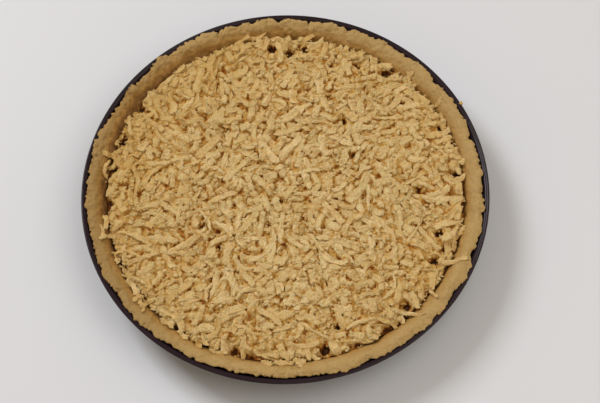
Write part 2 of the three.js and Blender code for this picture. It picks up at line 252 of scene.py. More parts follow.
# The bulges between them: azimuth and half width in degrees, and how far out each reaches, in millimetres
edge_bulges = np.array([
    [28, 8, 0.7], [43, 4, 1.7], [55, 4, 1.2], [74, 4, 0.6], [94, 3, 0.2], [113, 3.5, 0.6],
    [120.5, 3, 1.1], [130.5, 3.5, 1.7], [143.5, 3, 1.4], [157, 3, 0.6], [162.5, 6, 1.6], [184, 7, 1.5],
    [201, 3, 2.3], [207, 4, 1.6], [223, 5, 1.9], [231, 4, 1.4], [245, 6, 1.0], [286, 8, 1.1],
    [301, 8, 1.7], [311.5, 4, 3.0], [319, 4, 2.2], [331, 6, 2.4], [347, 6, 1.4],
])


def random_lattice(cell, seed):
    """A random number from -1 to 1 for each whole-numbered cell, [.., 3]: its numbers and the seed, each
    times a large odd number, are summed, and the bits of the sum are mixed twice."""
    mixed = (cell * np.array([73856093, 19349663, 83492791])).sum(-1) + seed * 2654435761
    mixed = ((mixed ^ (mixed >> 13)) * 1274126177) & 0xFFFFFFFF
    mixed = ((mixed ^ (mixed >> 16)) * 668265263) & 0xFFFFFFFF
    return (mixed ^ (mixed >> 15)) / 2.0 ** 31 - 1


def lumps(points, size, seed):
    """Smooth relief from -1 to 1: random values at the corners of cubes of that size, blended inside."""
    scaled = points / size
    cell = np.floor(scaled).astype(np.int64)
    share = scaled - cell
    share = share * share * (3 - 2 * share)
    total = 0
    for corner in np.ndindex(2, 2, 2):
        weight = np.prod(np.where(np.array(corner) == 1, share, 1 - share), -1)
        total = total + weight * random_lattice(cell + np.array(corner), seed)
    return total


def smooth_step(value):
    """Rises from 0 to 1 as value does, level at both ends: three times its square less twice its cube."""
    value = np.clip(value, 0, 1)
    return value * value * (3 - 2 * value)


def curve_through(controls, steps):
    """Rings along a smooth curve through control rings, [control, column, 2]. Each stretch is a cubic, whose
    slope at a control is that of the chord between its neighbours, scaled to the stretch's own length."""
    chord = np.linalg.norm(np.diff(controls, axis=0), axis=-1, keepdims=True)
    slope = np.zeros_like(controls)
    slope[1:-1] = (controls[2:] - controls[:-2]) / (chord[1:] + chord[:-1])
    slope[0] = (controls[1] - controls[0]) / chord[0]
    slope[-1] = (controls[-1] - controls[-2]) / chord[-1]
    rings = []
    for i, count in enumerate(steps):
        t = (np.arange(count) / count)[:, None, None]
        rings.append((2 * t**3 - 3 * t**2 + 1) * controls[i] + (t**3 - 2 * t**2 + t) * chord[i] * slope[i]
                     + (3 * t**2 - 2 * t**3) * controls[i + 1] + (t**3 - t**2) * chord[i] * slope[i + 1])
    rings.append(controls[-1:])
    return np.concatenate(rings)


def grid_normals(points):
    """Unit normals of a surface that closes round its columns: the cross product of its two directions."""
    round_it = np.roll(points, -1, 1) - np.roll(points, 1, 1)
    normal = np.cross(round_it, np.gradient(points, axis=0))
    return normal / np.maximum(np.linalg.norm(normal, axis=-1, keepdims=True), 1e-12)


# Round the border: how much it swells between two breaks, how deep in a notch and how far out on a bulge it
# is, how much it belongs to the high side, and the waves and tears of its fringe
azimuth = np.arange(crust_columns) * 360 / crust_columns
round_trip = turned(np.array([[rim_radius, 0]]), np.radians(azimuth))[0]
wander = 0.35 * lumps(round_trip, 5 * mm, 3)
turn = (edge_breaks[:, :1] - azimuth - wander + 540) % 360 - 180
before = np.where(turn <= 0, turn, -360).max(0)
after = np.where(turn >= 0, turn, 360).min(0)
swell = np.sqrt(np.sin(math.pi * before / np.minimum(before - after, -1e-6)))
notch_shape = np.exp(-np.abs(np.radians(turn) * rim_radius / mm / edge_breaks[:, 2:]) ** 1.3)
notch = (edge_breaks[:, 1:2] * notch_shape).sum(0) * mm
bulge_turn = (edge_bulges[:, :1] - azimuth - wander + 540) % 360 - 180
bulge = (edge_bulges[:, 2:] * np.exp(-np.abs(bulge_turn / edge_bulges[:, 1:2]) ** 2.5)).max(0) * mm
high = smooth_step(1.3 - np.abs((high_side_azimuth - azimuth + 540) % 360 - 180) / high_side_reach)
wave = crust_wave * np.sin(np.radians(azimuth) * 19) * np.sin(np.radians(azimuth) * 7)
fringe = mm * (0.6 * lumps(round_trip, 7 * mm, 4) + 1.5 * (np.abs(lumps(round_trip, 4.5 * mm, 5)) - 0.35)
               + 1.1 * (np.abs(lumps(round_trip, 2.2 * mm, 7)) - 0.35))
far_pull = far_inset * smooth_step(1 - np.abs(azimuth - far_azimuth) / far_reach)
lobe = (0.3 + 0.4 * high) * (swell - 1)
rise = high_side_lift * high - 0.55 * notch + 0.3 * mm * lumps(round_trip, 9 * mm, 9)
outward = bulge - notch + fringe * (1 + 0.4 * high)
torn_in = np.minimum(fringe, 0)

flat = np.zeros(crust_columns)
underside, bend_z = sheet + touch_gap, sheet + bend
crust_controls = np.stack([np.stack([radius + flat, height + flat], -1) for radius, height in (
    (bend_radius, underside),
    (wall_radius(bend_z) - touch_gap, bend_z),
    (wall_radius(middle_wall_z) - touch_gap, middle_wall_z),
    (wall_radius(low_wall_z) - touch_gap - 0.25 * notch, low_wall_z),
    (wall_radius(high_wall_z) - high_wall_inset - 0.9 * notch + torn_in, high_wall_z + 0.3 * rise),
    (wall_radius(tin_height) - edge_inset - far_pull + outward, edge_z + rise + thumb_rise * lobe),
    (crest_radius - 0.5 * notch, crest_z + rise + 0.5 * thumb_rise * lobe),
    (shoulder_radius + wave, shoulder_z + 0.7 * rise),
    (inner_radius + wave, inner_z),
    (low_inner_radius, low_inner_z),
    (floor_radius, underside + crust_floor),
)])

# Rings in each stretch between two of these: the tin hides the first four, and six lead up to the crest
crust_steps = [2, 3, 3, 4, 5, 9, 12, 12, 7, 3]
hidden_stretches, outer_stretches = 4, 6
crust_rings = turned(curve_through(crust_controls, crust_steps), np.radians(azimuth))

# Relief of the dough begins above the hidden part of the wall, and fades out below the grated pastry
ring_height = crust_rings[..., 2]
exposed = np.cumsum(np.ones(len(crust_rings)))[:, None] > sum(crust_steps[:hidden_stretches]) + 1
exposed = exposed * smooth_step((ring_height - 25 * mm) / (5 * mm))
relief = (0.5 * lumps(crust_rings, 7 * mm, 21) + 0.5 * lumps(crust_rings, 3.1 * mm, 22)
          + 0.15 * lumps(crust_rings, 1.6 * mm, 23) + 0.08 * lumps(crust_rings, 1 * mm, 24))
tears = 1 - np.abs(lumps(crust_rings, 4.5 * mm, 25) + 0.35 * lumps(crust_rings, 1.6 * mm, 26))
outer_edge = smooth_step((np.hypot(crust_rings[..., 0], crust_rings[..., 1]) - 134 * mm) / (4 * mm))
relief = relief - (0.35 + 0.5 * outer_edge) * smooth_step((tears - 0.86) / 0.14)
push_out = exposed * relief * (1 + 0.8 * high) * 0.9 * mm
crust_rings = crust_rings + grid_normals(crust_rings) * push_out[..., None]
border_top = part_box("crust")[1].z
crust_rings[..., 2] = np.minimum(crust_rings[..., 2], border_top)
crust = closed_on_axis("crust_case", crust_rings)


def keep_values(piece, name, values):
    """Keeps a number on each point of a piece, as an attribute that its material reads."""
    attribute = piece.data.attributes.new(name, "FLOAT", "POINT")
    attribute.data.foreach_set("value", values.astype(np.float32))


# For painted shade in its colour the case keeps how far left each point is, and how deep under the crest:
# from 0 to 1, darker down the inner side from the crest, and to 2 on the left, where the inner side faces
# away from the light
left_shade = smooth_step(-crust_rings[..., 0] / (135 * mm))
under_crest = edge_z + 2.6 * mm * high + 1.6 * mm * left_shade - crust_rings[..., 2]
shaded = left_shade * smooth_step((under_crest - 3 * mm) / (4 * mm))
for name, share in (("shade_depth", smooth_step(under_crest / (6 * mm)) + shaded), ("left", left_shade)):
    keep_values(crust, name, np.concatenate([[1], share.ravel(), [1]]))


def dough_group():
    """Raw dough's surface, as a node group: patches of butter and flour, fine crumb, and dark pits as painted
    shade.
    """
    group = bpy.data.node_groups.new("dough_surface", "ShaderNodeTree")
    for name, kind, way in (("Place", "NodeSocketVector", "INPUT"), ("Patches", "NodeSocketFloat", "OUTPUT"),
                            ("Crumb", "NodeSocketFloat", "OUTPUT"), ("Pit Shade", "NodeSocketFloat", "OUTPUT"),
                            ("Height", "NodeSocketFloat", "OUTPUT")):
        group.interface.new_socket(name=name, in_out=way, socket_type=kind)
    start = group.nodes.new("NodeGroupInput")
    end = group.nodes.new("NodeGroupOutput")
    spot = start.outputs["Place"]
    patches = noise(group, spot, 9 * mm, 4, 0.6)
    crumb = noise(group, spot, 1 * mm, 4, 0.65)
    grain = noise(group, spot, 0.45 * mm, 3, 0.6)
    height = group.nodes.new("ShaderNodeMath")
    height.operation = "MULTIPLY_ADD"
    height.inputs[1].default_value = 0.45
    group.links.new(grain, height.inputs[0])
    group.links.new(crumb, height.inputs[2])
    group.links.new(remap(group, patches, 0.3, 0.7, 0, 1), end.inputs["Patches"])
    group.links.new(remap(group, crumb, 0.38, 0.62, 0, 1), end.inputs["Crumb"])
    # Dark pits: painted shade of tiny hollows, which the relief does not have
    pit_shade_mask = noise(group, spot, 0.8 * mm, 3, 0.7)
    group.links.new(remap(group, pit_shade_mask, 0.5, 0.35, 0, 1), end.inputs["Pit Shade"])
    group.links.new(height.outputs[0], end.inputs["Height"])
    return group


dough_surface = dough_group()


def dough_material(name, dark, pale, floury, pit_shade, mottle_and_pit_shade, relief_height):
    """Raw dough: dark to pale in patches, floury on the crumb, browned in its pits as painted shade, a little
    translucent.
    """
    material, tree, shader, place = new_material(name)
    surface = tree.nodes.new("ShaderNodeGroup")
    surface.node_tree = dough_surface
    tree.links.new(place, surface.inputs["Place"])
    patched = mix_colours(tree, surface.outputs["Patches"], dark, pale)
    share = remap(tree, surface.outputs["Crumb"], 0.4, 1, 0, mottle_and_pit_shade)
    floured = mix_colours(tree, share, patched, floury)
    share = remap(tree, surface.outputs["Pit Shade"], 0, 1, 0, mottle_and_pit_shade)
    tree.links.new(mix_colours(tree, share, floured, pit_shade), shader.inputs["Base Color"])
    tree.links.new(remap(tree, surface.outputs["Patches"], 0, 1, 0.58, 0.8), shader.inputs["Roughness"])
    shader.inputs["Specular IOR Level"].default_value = 0.35
    shader.inputs["Subsurface Weight"].default_value = 0.3
    shader.inputs["Subsurface Radius"].default_value = (1.0, 0.55, 0.25)
    shader.inputs["Subsurface Scale"].default_value = 0.9 * mm
    bump(tree, shader, surface.outputs["Height"], relief_height)
    return material, tree, shader


def colour_by(tree, shader, name, blends):
    """Mixes further colours into a dough's by an attribute: each one's share grows from nothing at the first
    number of its blend to the third number at the second."""
    attribute = tree.nodes.new("ShaderNodeAttribute")
    attribute.attribute_name = name
    colour = shader.inputs["Base Color"].links[0].from_socket
    for start, end, most, toward in blends:
        share = remap(tree, attribute.outputs["Fac"], start, end, 0, most)
        colour = mix_colours(tree, share, colour, toward)
    tree.links.new(colour, shader.inputs["Base Color"])


crust_dough, tree, shader = dough_material(
    "crust_dough", dark=(0.365, 0.23, 0.072), pale=(0.42, 0.282, 0.11), floury=(0.51, 0.365, 0.173),
    pit_shade=(0.33, 0.178, 0.042), mottle_and_pit_shade=0.4, relief_height=0.55 * mm)
# Painted shade: the whole left side of the case darker, where less light falls, and its inner side darker
# from the crest down, darkest on the left
colour_by(tree, shader, "left", [(0.45, 1, 0.75, (0.29, 0.18, 0.058))])
colour_by(tree, shader, "shade_depth", [(0, 1, 0.85, (0.36, 0.18, 0.032)), (1, 2, 0.7, (0.15, 0.062, 0.018))])
crust.data.materials.append(crust_dough)
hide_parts("crust")
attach(crust, "root")

# The apple filling is cooked, browned apple in small pieces. It fills the case up to the grated pastry. Its
# wet brown top stands up in the gaps of the grated pastry and shows there, dark between the shreds: its
# colour is the browned apple's own, darkened further as painted shade of the deep gaps.
draw = np.random.default_rng(2024)
filling_low, filling_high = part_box("apple_filling")
filling_columns, filling_stations = 480, 130
filling_foot_radius, filling_side_radius, filling_side_z = 121.3 * mm, 125.0 * mm, 22 * mm
side_gap = 0.5 * mm
apple_piece, apple_bit, apple_relief = 9 * mm, 4 * mm, 1.5 * mm
gap_fill_z = 27.4 * mm

# The gaps in the grated pastry: azimuth in degrees, then radius and size in millimetres
named_gaps = np.array([
    (87, 113, 2.6), (93.5, 117, 2.4), (159, 123, 2.6), (281.5, 122, 2.6), (258.5, 127, 2.2), (183, 125.5, 3),
    (336.5, 121.5, 2.2), (51, 120, 2.2), (146, 124, 1.6), (302, 126, 2), (4, 121.5, 2), (330.5, 117, 1.8),
    (81.5, 117, 1.6), (312, 121, 1.6), (22.5, 122, 1.3), (253, 124, 1.6), (170, 123, 1.2), (341, 113, 1.6),
])

# Smaller and shallower gaps are left by chance
chance_gaps, gap_spread = 14, 122 * mm
gap_turn = np.append(np.radians(named_gaps[:, 0]), draw.uniform(0, 2 * math.pi, chance_gaps))
gap_out = np.append(named_gaps[:, 1] * mm, gap_spread * np.sqrt(draw.uniform(0, 1, chance_gaps)))
gap_size = np.append(named_gaps[:, 2] * mm, draw.uniform(0.5 * mm, 1.2 * mm, chance_gaps))
gap_depth = np.append(np.ones(len(named_gaps)), draw.uniform(0.3, 0.7, chance_gaps))
gap_x, gap_y = gap_out * np.cos(gap_turn), gap_out * np.sin(gap_turn)


def nearness_to_gap(x, y, reach):
    """A gap's depth in its middle, 1 for a named gap, falling to 0 at its size plus the reach: the greatest
    of all the gaps. Lumps added to the distance make the gaps' outlines uneven."""
    uneven = 1.1 * mm * lumps(np.stack([x, y, 0 * x], -1), 1.5 * mm, 33)
    away = np.hypot(x[..., None] - gap_x, y[..., None] - gap_y) + uneven[..., None]
    return (gap_depth * (1 - smooth_step((away - 0.4 * gap_size) / (0.6 * gap_size + reach)))).max(-1)


filling_side = np.array([
    (filling_foot_radius, filling_low.z),
    (filling_side_radius, filling_side_z),
    (filling_high.x - side_gap, filling_high.z - 1 * mm),
])
top_radii = (filling_high.x - side_gap) * np.linspace(1, 0, filling_stations)[1:-1]
filling_section = np.concatenate([filling_side, np.stack([top_radii, filling_high.z + 0 * top_radii], 1)])
filling_rings = turned(filling_section, np.arange(filling_columns) * 2 * math.pi / filling_columns)
on_top = (np.arange(len(filling_section)) >= len(filling_side))[:, None]
large_bits = np.abs(lumps(filling_rings, apple_piece, 31))
small_bits = np.abs(lumps(filling_rings, apple_bit, 32))
chunks = 0.6 * large_bits + 0.3 * small_bits
showing = nearness_to_gap(filling_rings[..., 0], filling_rings[..., 1], 2.5 * mm)
filling_rings[..., 2] += on_top * (apple_relief * chunks + (gap_fill_z - filling_high.z) * showing)
filling = closed_on_axis("apple_filling_top", filling_rings)

stewed, tree, shader, place = new_material("stewed_apple")
browning = noise(tree, place, 5 * mm, 4)
browned = remap(tree, browning, 0.35, 0.65, 0, 1)
# Near-black browns: browned apple, darkened further as painted shade of the gaps that it shows in
colour = mix_colours(tree, browned, (0.03, 0.009, 0.003), (0.08, 0.032, 0.009))
tree.links.new(colour, shader.inputs["Base Color"])
tree.links.new(remap(tree, browning, 0.3, 0.7, 0.35, 0.55), shader.inputs["Roughness"])
shader.inputs["Specular IOR Level"].default_value = 0.12
bump(tree, shader, noise(tree, place, 2 * mm, 4), 0.4 * mm)
filling.data.materials.append(stewed)
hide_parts("apple_filling")
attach(filling, "root")

# The topping is the same dough, grated over the filling: torn ribbons, bits and crumbs, matted together. Each
# is laid on a map of the heap's height and raises it. The lower layers show only in the matted heap, which
# follows that map, and the loose ones on top are pieces as well.
heap_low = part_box("grated_topping")[0]
map_pitch = 0.4 * mm
map_half = 137 * mm
map_cells = int(2 * map_half / map_pitch) + 1
edge_limit = 126.5 * mm
bed_edge_z, bed_crown_z = 27.2 * mm, 27.8 * mm
heap_top_z = 36.2 * mm
spread_radius, heading_stray, curl_height = 126 * mm, 0.9, 0.9 * mm
gap_penalty = 20 * mm


def bed_height(x, y):
    """Height of the bed that the ribbons fall on: a low dome that falls with the cube of the radius."""
    share = np.minimum(1, np.hypot(x, y) / edge_limit)
    return bed_edge_z + (bed_crown_z - bed_edge_z) * (1 - share ** 3)


def case_height(x, y):
    """Height of the case's inner side at a place, from a table of height against radius in each column, and 0
    over its floor."""
    first = sum(crust_steps[:outer_stretches])
    inner = crust_rings[first:]
    radii = np.hypot(inner[..., 0], inner[..., 1])[::-1]
    grid = np.linspace(120 * mm, 136.5 * mm, 120)
    table = np.stack([np.interp(grid, radii[:, c], inner[::-1, c, 2]) for c in range(crust_columns)])
    column = np.round(np.degrees(np.arctan2(y, x)) / 360 * crust_columns).astype(int) % crust_columns
    radius = np.hypot(x, y)
    step = np.clip(np.round((radius - grid[0]) / (grid[1] - grid[0])).astype(int), 0, len(grid) - 1)
    return np.where(radius < floor_radius, 0, table[column, step])


map_line = np.linspace(-map_half, map_half, map_cells)
map_y, map_x = np.meshgrid(map_line, map_line, indexing="ij")
map_places = np.stack([map_x, map_y, 0 * map_x], -1)
bed_map = (bed_height(map_x, map_y) + 0.7 * mm * lumps(map_places, 9 * mm, 51)
           + 0.5 * mm * lumps(map_places, 4 * mm, 52))
heap_grid = np.maximum(bed_map, case_height(map_x, map_y))
heap = heap_grid.ravel()
tint_grid = np.full(heap_grid.shape, 0.5)
tears_grid = mm * (0.5 * lumps(map_places, 3 * mm, 53) + 0.6 * lumps(map_places, 1.3 * mm, 54))
shoulder = 0.7 * mm


def map_index(x, y):
    """Cell of the height map under a place."""
    column = np.clip(np.round((x + map_half) / map_pitch).astype(int), 0, map_cells - 1)
    row = np.clip(np.round((y + map_half) / map_pitch).astype(int), 0, map_cells - 1)
    return row * map_cells + column


def map_value(field, x, y):
    """A map's value at a place, blended between the four cells round it."""
    column, row = (x + map_half) / map_pitch, (y + map_half) / map_pitch
    left, low = np.floor(column).astype(int), np.floor(row).astype(int)
    share_x, share_y = column - left, row - low
    lower = field[low, left] * (1 - share_x) + field[low, left + 1] * share_x
    upper = field[low + 1, left] * (1 - share_x) + field[low + 1, left + 1] * share_x
    return lower * (1 - share_y) + upper * share_y


def path_of(x, y, heading, length, bend, share):
    """Places along a bent ribbon, by their share from -1 to 1: its middle, plus half its length times that
    share along its heading, plus its bend times the share's square less 0.33 across it."""
    along = share * length / 2
    aside = bend * (share ** 2 - 0.33)
    return (x + along * np.cos(heading) - aside * np.sin(heading),
            y + along * np.sin(heading) + aside * np.cos(heading))


def swept_heading(x, y):
    """The way that the grater was drawn over that part of the pie: a sum of slow sines of the place."""
    return 0.25 + 1.1 * np.sin(-14 * x + 5 * y + 0.4) + 0.5 * np.sin(22 * y - 6 * x)


def press_in(x, y, heading, bend, size, heights, sunk):
    """Raises the map to a piece's top, which stands 0.8 of its thickness, less what it is sunk by, over what
    it lies on. It falls off in a rounded shoulder and ends at an edge that the map of tears makes ragged.
    Notes the piece's tint there."""
    long, wide, thick = size
    cells = int((long / 2 + wide / 2 + abs(bend)) / map_pitch) + 3
    row, column = divmod(int(map_index(x, y)), map_cells)
    window = (slice(max(row - cells, 0), row + cells + 1), slice(max(column - cells, 0), column + cells + 1))
    away_x, away_y = map_x[window] - x, map_y[window] - y
    along = away_x * math.cos(heading) + away_y * math.sin(heading)
    aside = away_y * math.cos(heading) - away_x * math.sin(heading) - bend * ((2 * along / long) ** 2 - 0.33)
    first = draw.integers(0, map_cells - np.array(away_x.shape))
    tears = tears_grid[first[0]:first[0] + away_x.shape[0], first[1]:first[1] + away_x.shape[1]]
    inside = np.minimum(wide / 2 - np.abs(aside), long / 2 - np.abs(along)) + tears - sunk
    round_off = np.sqrt(1 - (1 - np.clip(inside / shoulder, 0, 1)) ** 2)
    lean = draw.normal(0, 0.22)
    level = np.interp(2 * along / long, np.linspace(-1, 1, len(heights)), heights) + lean * aside
    top = level + thick * (0.8 * round_off - 0.3) - sunk
    raised = (inside > 0) & (top > heap_grid[window])
    heap_grid[window] = np.where(raised, top, heap_grid[window])
    tint_grid[window] = np.where(raised, draw.uniform(0, 1), tint_grid[window])


def lay_pieces(kind, count, named, sunk):
    """Lays pieces one by one. Each falls where it lies lowest of its tries, clear of the gaps if it can, is
    slid inwards if it would pass its reach, sags on to what lies under it, and raises the map there. Gives
    their paths, [piece, station, xyz], and sizes, [piece, (length, width, thickness)]."""
    tries, stations, length, width, thickness, bend, reach = piece_kinds[kind]
    share = np.linspace(-1, 1, stations)
    coarse = np.linspace(-0.9, 0.9, 5)
    paths = np.zeros((count, stations, 3))
    sizes = np.stack([draw.uniform(*np.multiply(span, mm), count) for span in (length, width, thickness)], 1)
    bends = draw.normal(0, 1, count) * (bend * mm)
    strays = draw.normal(0, heading_stray, (count, tries))
    spots = spread_radius * np.sqrt(draw.uniform(0, 1, (count, tries)))
    turns = draw.uniform(0, 2 * math.pi, (count, tries))
    beyond = draw.uniform(*np.multiply(reach, mm), count)
    curls = np.maximum(0, draw.normal(0, curl_height, (count, 2)))
    for k in range(count):
        long, wide, thick = sizes[k]
        tries_x, tries_y = spots[k] * np.cos(turns[k]), spots[k] * np.sin(turns[k])
        headings = swept_heading(tries_x, tries_y) + strays[k]

        # How high each try would lie over the bed, and whether it is clear of the gaps
        under_x = tries_x[:, None] + coarse * long / 2 * np.cos(headings)[:, None]
        under_y = tries_y[:, None] + coarse * long / 2 * np.sin(headings)[:, None]
        under = heap[map_index(under_x, under_y)] - bed_height(under_x, under_y)
        level = 0.5 * under.max(1) + 0.5 * under.mean(1)
        clear = np.hypot(under_x[..., None] - gap_x, under_y[..., None] - gap_y) - gap_size - wide / 2
        best = int(np.argmin(level + gap_penalty * (clear.min((1, 2)) < 0)))
        x, y, heading = tries_x[best], tries_y[best], headings[best]
        if k < len(named):
            spot_azimuth, spot_radius, heading, sizes[k, 0], sizes[k, 1], bends[k] = named[k]
            long, wide = sizes[k, :2]
            x, y = spot_radius * math.cos(spot_azimuth), spot_radius * math.sin(spot_azimuth)
        end_x, end_y = path_of(x, y, heading, long, bends[k], share)
        azimuth_here = math.degrees(math.atan2(y, x)) % 360
        limit = np.interp(azimuth_here, 10 * np.arange(37), topping_reach) * mm + beyond[k]
        excess = np.hypot(end_x, end_y).max() - limit
        if excess > 0 and k >= len(named):
            x, y = x - x / math.hypot(x, y) * excess, y - y / math.hypot(x, y) * excess
            end_x, end_y = path_of(x, y, heading, long, bends[k], share)

        # What lies under the piece's middle and sides; it sags over that, but bridges the hollows
        side_x, side_y = -math.sin(heading), math.cos(heading)
        ground = np.stack([heap[map_index(end_x + side * wide * side_x, end_y + side * wide * side_y)]
                           for side in (-0.3, 0, 0.3)])
        ground = 0.35 * ground.max(0) + 0.65 * ground.mean(0)
        straight = np.polyval(np.polyfit(share, ground, 1), share) if stations > 2 else ground
        padded = np.pad(ground, 1, "edge")
        sagged = np.maximum(ground, (padded[2:] + padded[:-2]) / 2)
        level = 0.4 * sagged + 0.6 * np.maximum(straight, ground)
        curl = curls[k, 0] * np.maximum(0, -share) ** 3 + curls[k, 1] * np.maximum(0, share) ** 3
        height = level + curl * (stations > 6) + thick * 0.3
        height = np.minimum(height, (heap_top_z if k >= len(named) else border_top) - thick / 2)
        paths[k] = np.stack([end_x, end_y, height], 1)
        press_in(x, y, heading, bends[k], sizes[k], height, sunk)
    return paths, sizes


# Ribbons over or against the border: azimuth, radius, heading, length, width and bend, in degrees or mm
degree = math.radians(1)
border_ribbons = np.array([degree, mm, degree, mm, mm, mm]) * np.array([
    (333.2, 130.2, 5, 17, 4.4, 0.6), (170.8, 129, 262, 14, 3.2, 3), (166, 128.6, 172, 9, 4.6, 0.6),
    (193, 131.2, 100, 12, 3.2, 0.8), (195, 129, 10, 11, 3.6, -1), (30.6, 129, 28, 9, 3.2, 0.5),
    (219, 130, 115, 10, 3.4, 1), (221, 129, 70, 11, 3.2, 0.5), (217.5, 130, 40, 8, 3, 0.4),
    (98, 128, 15, 14, 4, 1), (104, 127.5, 202, 15, 4, 0.8), (268.5, 128.6, 356, 13, 4.6, 0.2),
    (263.3, 129.4, 350, 7, 4.4, 0.2), (273.4, 128.6, 50, 7, 6, 0.2), (310.5, 125.6, 350, 22, 3.2, 0.8),
    (320.5, 128.6, 300, 10, 3.6, 0.5), (213.5, 127.5, 120, 14, 5, 2), (44, 127.5, 60, 9, 6.4, 0.2),
    (151.6, 127.8, 60, 6, 4.6, 0.4), (159, 127, 240, 12, 3.4, 1), (24, 125.5, 100, 12, 4.4, 0.8),
    (10, 126.8, 110, 11, 4, 0.5), (189.3, 128, 95, 12, 4.2, 0.8), (202, 127.3, 110, 9, 4.2, 0.5),
    (344, 127, 45, 9, 3.6, 0.5), (82.5, 124.5, 20, 17, 4.4, 1), (230, 128, 150, 10, 4.2, 0.8),
    (236, 128.2, 130, 9, 3.8, 0.6), (248.5, 128.4, 170, 11, 4, 0.6), (241.5, 128.4, 120, 8, 4.4, 0.4),
])

# How far out the topping reaches at every tenth degree of azimuth, in millimetres
topping_reach = np.array([
    128.5, 129.5, 128, 127.3, 127, 129, 129.5, 125.5, 126.5, 127, 130, 124.5,
    128, 128, 126.5, 128.7, 129.5, 131, 125.5, 130.5, 127, 130, 131.5, 131,
    131, 130, 129, 130.4, 127.6, 128, 128.8, 129, 129.5, 125.5, 126.5, 126, 128.5,
])

# The kinds of pieces: places tried for each, stations on its path, then in millimetres the ranges of length,
# width and thickness, the bend, and the range of how much further than the topping's reach each goes
piece_kinds = {
    "crumb": (6, 1, (2, 4), (2, 4), (1.6, 2.8), 0.0, (-3, 1.8)),
    "flake": (5, 4, (2.8, 6.2), (2.2, 4.5), (1.2, 2), 0.3, (-3, 1.5)),
    "short": (12, 7, (7, 13), (3.6, 6.2), (1.4, 2.3), 0.9, (-3.5, 1.2)),
    "thin": (18, 8, (12, 26), (2.4, 3.8), (1.4, 2), 2, (-2, 0.5)),
    "long": (16, 8, (13, 24), (3.5, 6.1), (1.4, 2.3), 2, (-2, 0.2)),
}

# The layers from the bottom up: kind, count, the pieces with a place of their own, and whether they are loose
layers = (
    ("flake", 1200, (), False), ("crumb", 400, (), False), ("short", 700, (), False),
    ("long", 220, (), False), ("flake", 500, (), False), ("short", 400, (), True),
    ("flake", 300, (), True), ("long", 300, border_ribbons, True), ("short", 300, (), True),
    ("crumb", 350, (), True), ("thin", 40, (), True), ("flake", 180, (), True),
)
loose_sink = 0.2 * mm
batches = {kind: [] for kind in piece_kinds}
for kind, count, named, loose in layers:
    laid = lay_pieces(kind, count, named, loose_sink * loose)
    if loose:
        batches[kind].append(laid)


def joined(kind):
    """The paths and sizes of a kind's pieces in all the layers, one after another."""
    return np.concatenate([b[0] for b in batches[kind]]), np.concatenate([b[1] for b in batches[kind]])


def blurred(field, reach):
    """The mean of a map over a square of that reach each way, taken twice: differences of running sums."""
    half = int(reach / map_pitch)
    for _ in range(2):
        for axis in (0, 1):
            padded = np.pad(field, [(half + 1, half) if a == axis else (0, 0) for a in (0, 1)], "edge")
            sums = np.cumsum(padded, axis)
            size = field.shape[axis]
            late = np.take(sums, np.arange(size) + 2 * half + 1, axis)
            field = (late - np.take(sums, np.arange(size), axis)) / (2 * half + 1)
    return field


def swollen(field, reach):
    """The greatest of a map over a square of that reach each way."""
    cells = int(reach / map_pitch)
    for axis in (0, 1):
        field = np.max([np.roll(field, shift, axis) for shift in range(-cells, cells + 1)], 0)
    return field


topping_map = np.minimum(heap_grid, bed_map + 10 * mm)
surface_map = blurred(swollen(topping_map, 1.5 * mm), 1 * mm)
crack_depth = mm * (1.8 + 1.05 * lumps(map_places, 2.4 * mm, 55) + 0.6 * lumps(map_places, 1.2 * mm, 56))
topping_map = np.maximum(topping_map, surface_map - crack_depth)


def places_of(piece):
    """The x, y and z of a piece's points, an array each."""
    points = np.empty(len(piece.data.vertices) * 3, np.float32)
    piece.data.vertices.foreach_get("co", points)
    return points.reshape(-1, 3).T


def keep_painted_shade(piece):
    """Keeps how far each point lies under the tops round it, from 0 to 2 over 4.4 mm, for painted shade in
    the dough's colour:
    darker and browner deeper in the crevices. Near the border, where light comes in from the side, it is
    under half of that but in the lowest part."""
    x, y, z = places_of(piece)
    shade_depth = np.clip((surface_map.ravel()[map_index(x, y)] - 0.1 * mm - z) / (2.2 * mm), 0, 2)
    outermost = smooth_step((np.hypot(x, y) - 118 * mm) / (6 * mm))
    shade_depth = shade_depth * (1 - 0.55 * outermost * smooth_step((z - 28.3 * mm) / (1.6 * mm)))
    keep_values(piece, "shade_depth", shade_depth)


def keep_tint_and_shade(piece, values):
    """Keeps a number from 0 to about 1 on each point, for the dough's colour: nearly half comes from the one
    given, a tone of the piece's own, and the rest is painted shade, rising towards the border and towards the
    far left."""
    x, y = places_of(piece)[:2]
    border_shade = smooth_step((np.hypot(x, y) - 75 * mm) / (50 * mm))
    far_left_shade = smooth_step((0.6 * y - 0.8 * x) / (125 * mm))
    keep_values(piece, "tint_and_shade", 0.47 * values + 0.27 * border_shade + 0.28 * far_left_shade)


# A ribbon's cross-section, as shares of half its width and half its thickness: flat on top, torn at its sides
ribbon_section = np.array([
    (1, 0.1), (0.85, 0.85), (0.3, 1), (-0.3, 1), (-0.85, 0.85), (-1, 0.1), (-0.6, -1), (0.6, -1),
])


